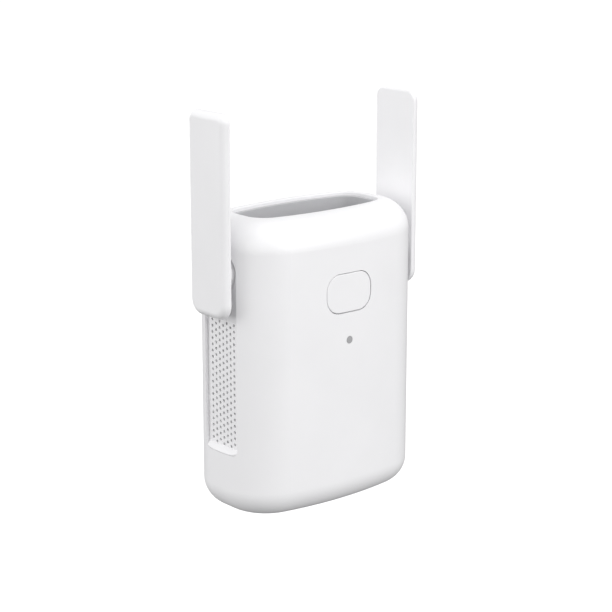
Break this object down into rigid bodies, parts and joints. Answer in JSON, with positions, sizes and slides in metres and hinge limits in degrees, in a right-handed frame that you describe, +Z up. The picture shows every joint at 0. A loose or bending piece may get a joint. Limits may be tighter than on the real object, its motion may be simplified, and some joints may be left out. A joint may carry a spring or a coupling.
{
  "type": "wifi range extender",
  "caption": "Upright rounded wall-plug wifi range extender with side paddle antennas that swivel, perforated side recesses, an oval top air cup, front button and light, network jack below.",
  "frame": {"origin": "centre of the flat plug face on the back, between the blades, where it rests on the outlet", "axes": "+Y out of the back along the blades into the wall, +Z up along the antennas, +X to the viewer's right when facing the front"},
  "size_m": [0.0744, 0.0572, 0.1184],
  "materials": {
    "antenna_plastic": "satin white ABS, softly glossy",
    "barrier_film": "thin translucent film",
    "blade_metal": "nickel-plated brass, lightly brushed",
    "button_plastic": "satin white ABS",
    "capacitor_sleeve": "dark blue sleeve",
    "casing_plastic": "satin white ABS, softly glossy",
    "chip_epoxy": "matt black epoxy",
    "clip_steel": "plain spring steel",
    "connector_plastic": "natural nylon",
    "contact_spring_metal": "bare spring brass",
    "friction_plastic": "matt dark acetal",
    "fuse_ceramic": "glazed ceramic",
    "gold_contact": "gold-plated",
    "grille_plastic": "satin white ABS with perforations",
    "heat_sink_metal": "extruded, plain",
    "jack_plastic": "black glass-filled plastic",
    "lead_jacket": "black smooth jacket",
    "led_resin": "pale clear resin",
    "light_pipe_plastic": "smoked translucent acrylic, unlit",
    "mains_board_laminate": "tan paper laminate",
    "plug_insert_plastic": "smooth white moulding",
    "radio_board_laminate": "green solder mask",
    "screw_steel": "zinc-plated",
    "shield_metal": "tinned sheet steel",
    "switch_plastic": "matt black",
    "switch_stem_plastic": "off-white acetal",
    "thermal_pad_silicone": "soft grey silicone",
    "transformer_ferrite": "dark ferrite with yellow tape",
    "tray_plastic": "fine matt mid grey"
  },
  "bodies": {
    "housing": {"back_cover": "casing_plastic", "blade_contacts": "contact_spring_metal", "bridge_rectifier": "chip_epoxy", "button_switch_base": "switch_plastic", "cover_screws": "screw_steel", "ethernet_contacts": "gold_contact", "ethernet_jack": "jack_plastic", "front_shell": "casing_plastic", "heat_sink": "heat_sink_metal", "insulation_barrier": "barrier_film", "left_antenna_lead": "lead_jacket", "left_antenna_lead_plug": "gold_contact", "left_plug_blade": "blade_metal", "left_side_grille": "grille_plastic", "main_board": "radio_board_laminate", "main_board_screws": "screw_steel", "mains_board": "mains_board_laminate", "mains_board_screws": "screw_steel", "mains_fuse": "fuse_ceramic", "mains_transformer": "transformer_ferrite", "memory_shield_can": "shield_metal", "plug_insert": "plug_insert_plastic", "power_header": "connector_plastic", "power_socket": "connector_plastic", "radio_chip": "chip_epoxy", "radio_shield_can": "shield_metal", "reset_switch_base": "switch_plastic", "right_antenna_lead": "lead_jacket", "right_antenna_lead_plug": "gold_contact", "right_plug_blade": "blade_metal", "right_side_grille": "grille_plastic", "status_led": "led_resin", "status_light_pipe": "light_pipe_plastic", "supply_capacitors": "capacitor_sleeve", "thermal_pad": "thermal_pad_silicone", "top_vent_tray": "tray_plastic"},
    "left_antenna": {"left_antenna_outer_shell": "antenna_plastic", "left_antenna_inner_shell": "antenna_plastic", "left_antenna_element": "radio_board_laminate", "left_hinge_clip": "clip_steel", "left_friction_ring": "friction_plastic"},
    "right_antenna": {"right_antenna_outer_shell": "antenna_plastic", "right_antenna_inner_shell": "antenna_plastic", "right_antenna_element": "radio_board_laminate", "right_hinge_clip": "clip_steel", "right_friction_ring": "friction_plastic"},
    "mode_button": {"button_cap": "button_plastic", "button_switch_stem": "switch_stem_plastic"},
    "reset_plunger": {"reset_switch_stem": "switch_stem_plastic"}
  },
  "joints": [
    {"name": "left_antenna_swivel", "type": "hinge", "parent": "housing", "child": "left_antenna", "pos_m": [-0.0343, -0.021, 0.0286], "axis": [1, 0, 0], "range_deg": [0, 180]},
    {"name": "right_antenna_swivel", "type": "hinge", "parent": "housing", "child": "right_antenna", "pos_m": [0.0343, -0.021, 0.0286], "axis": [1, 0, 0], "range_deg": [0, 180]},
    {"name": "mode_button_press", "type": "slide", "parent": "housing", "child": "mode_button", "axis": [0, 1, 0], "range_m": [0, 0.0005], "stiffness_N_per_m": 400},
    {"name": "reset_press", "type": "slide", "parent": "housing", "child": "reset_plunger", "axis": [0, 0, 1], "range_m": [0, 0.00025], "stiffness_N_per_m": 300}
  ]
}
